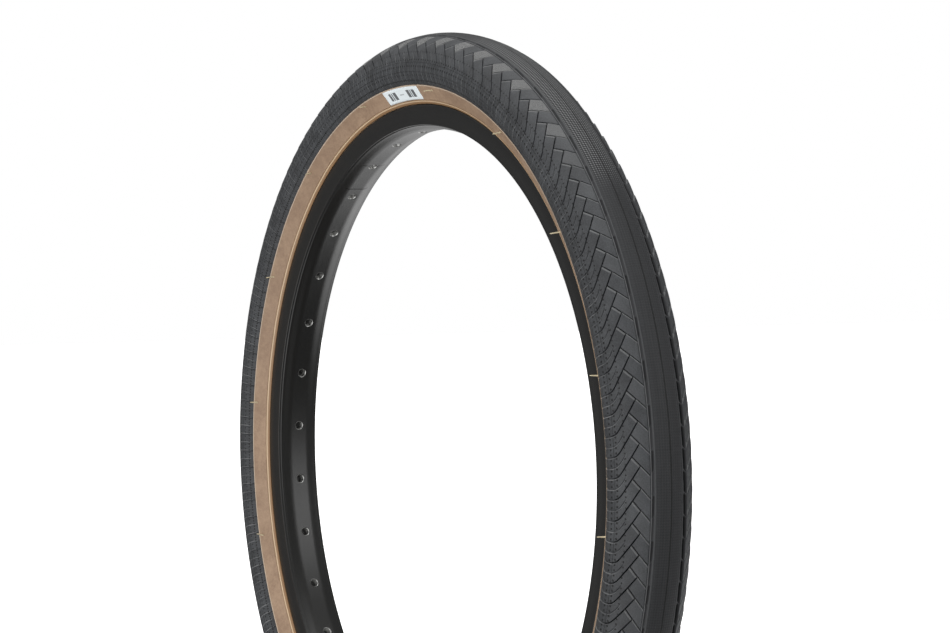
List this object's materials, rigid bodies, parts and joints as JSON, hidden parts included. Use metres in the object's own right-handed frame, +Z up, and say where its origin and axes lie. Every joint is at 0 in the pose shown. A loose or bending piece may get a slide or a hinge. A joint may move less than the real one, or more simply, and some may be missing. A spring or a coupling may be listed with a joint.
{
  "type": "bicycle tire",
  "caption": "Bicycle tyre with tan sidewalls and a herringbone tread, mounted with its inner tube on a bare double-wall rim.",
  "frame": {"origin": "centre of the wheel, at the middle of its width", "axes": "+Y along the axle line, away from the labelled side, which faces -Y; +Z up; the valve stands at the bottom of the wheel (-Z) and points up at the centre"},
  "size_m": [0.5016, 0.0478, 0.5016],
  "materials": {
    "tread_rubber": "matte black moulded rubber",
    "casing_cloth": "rubberised nylon cloth",
    "tan_rubber": "matte tan sidewall rubber",
    "gum_rubber": "semi-matte gum rubber strip",
    "bead_steel": "bronze-plated steel wire bundle",
    "label_vinyl": "plain pale transfer patch, no text",
    "tube_rubber": "matte black butyl rubber",
    "strip_rubber": "matte black rubber band",
    "black_anodised": "black anodised aluminium",
    "plain_aluminium": "mill-finish aluminium",
    "brass": "turned brass",
    "spring_steel": "bright spring wire",
    "seal_rubber": "red seal rubber",
    "cap_plastic": "black moulded plastic"
  },
  "bodies": {
    "wheel": {"tread_cap": "tread_rubber", "casing": "casing_cloth", "sidewall_front": "tan_rubber", "sidewall_rear": "tan_rubber", "chafer_front": "gum_rubber", "chafer_rear": "gum_rubber", "bead_wire_front": "bead_steel", "bead_wire_rear": "bead_steel", "label_front": "label_vinyl", "rim": "black_anodised", "rim_joint_sleeve": "plain_aluminium", "rim_strip": "strip_rubber", "inner_tube": "tube_rubber", "valve_patch": "tube_rubber", "valve_stem_rubber": "tube_rubber", "valve_stem": "brass", "valve_core_barrel": "brass", "valve_core_gasket": "seal_rubber", "valve_core_spring": "spring_steel"},
    "core_pin": {"valve_core_pin": "brass", "valve_core_cup_seal": "seal_rubber"},
    "cap_disc": {"valve_cap_seal": "seal_rubber"},
    "cap": {"valve_cap": "cap_plastic"}
  },
  "joints": [
    {"name": "core_pin_press", "type": "slide", "parent": "wheel", "child": "core_pin", "axis": [0, 0, -1], "range_m": [0, 0.0015], "stiffness_N_per_m": 600, "springref_m": -0.003, "deforming": ["valve_core_spring"]},
    {"name": "cap_lift", "type": "slide", "parent": "wheel", "child": "cap_disc", "axis": [0, 0, 1], "range_m": [0, 0.00635]},
    {"name": "cap_turn", "type": "hinge", "parent": "cap_disc", "child": "cap", "pos_m": [0, 0, -0.17], "axis": [0, 0, 1], "range_deg": [0, 2880]}
  ],
  "couplings": [
    {"joint": "cap_turn", "follows": "cap_lift", "rad_per_m": 7913.3}
  ]
}
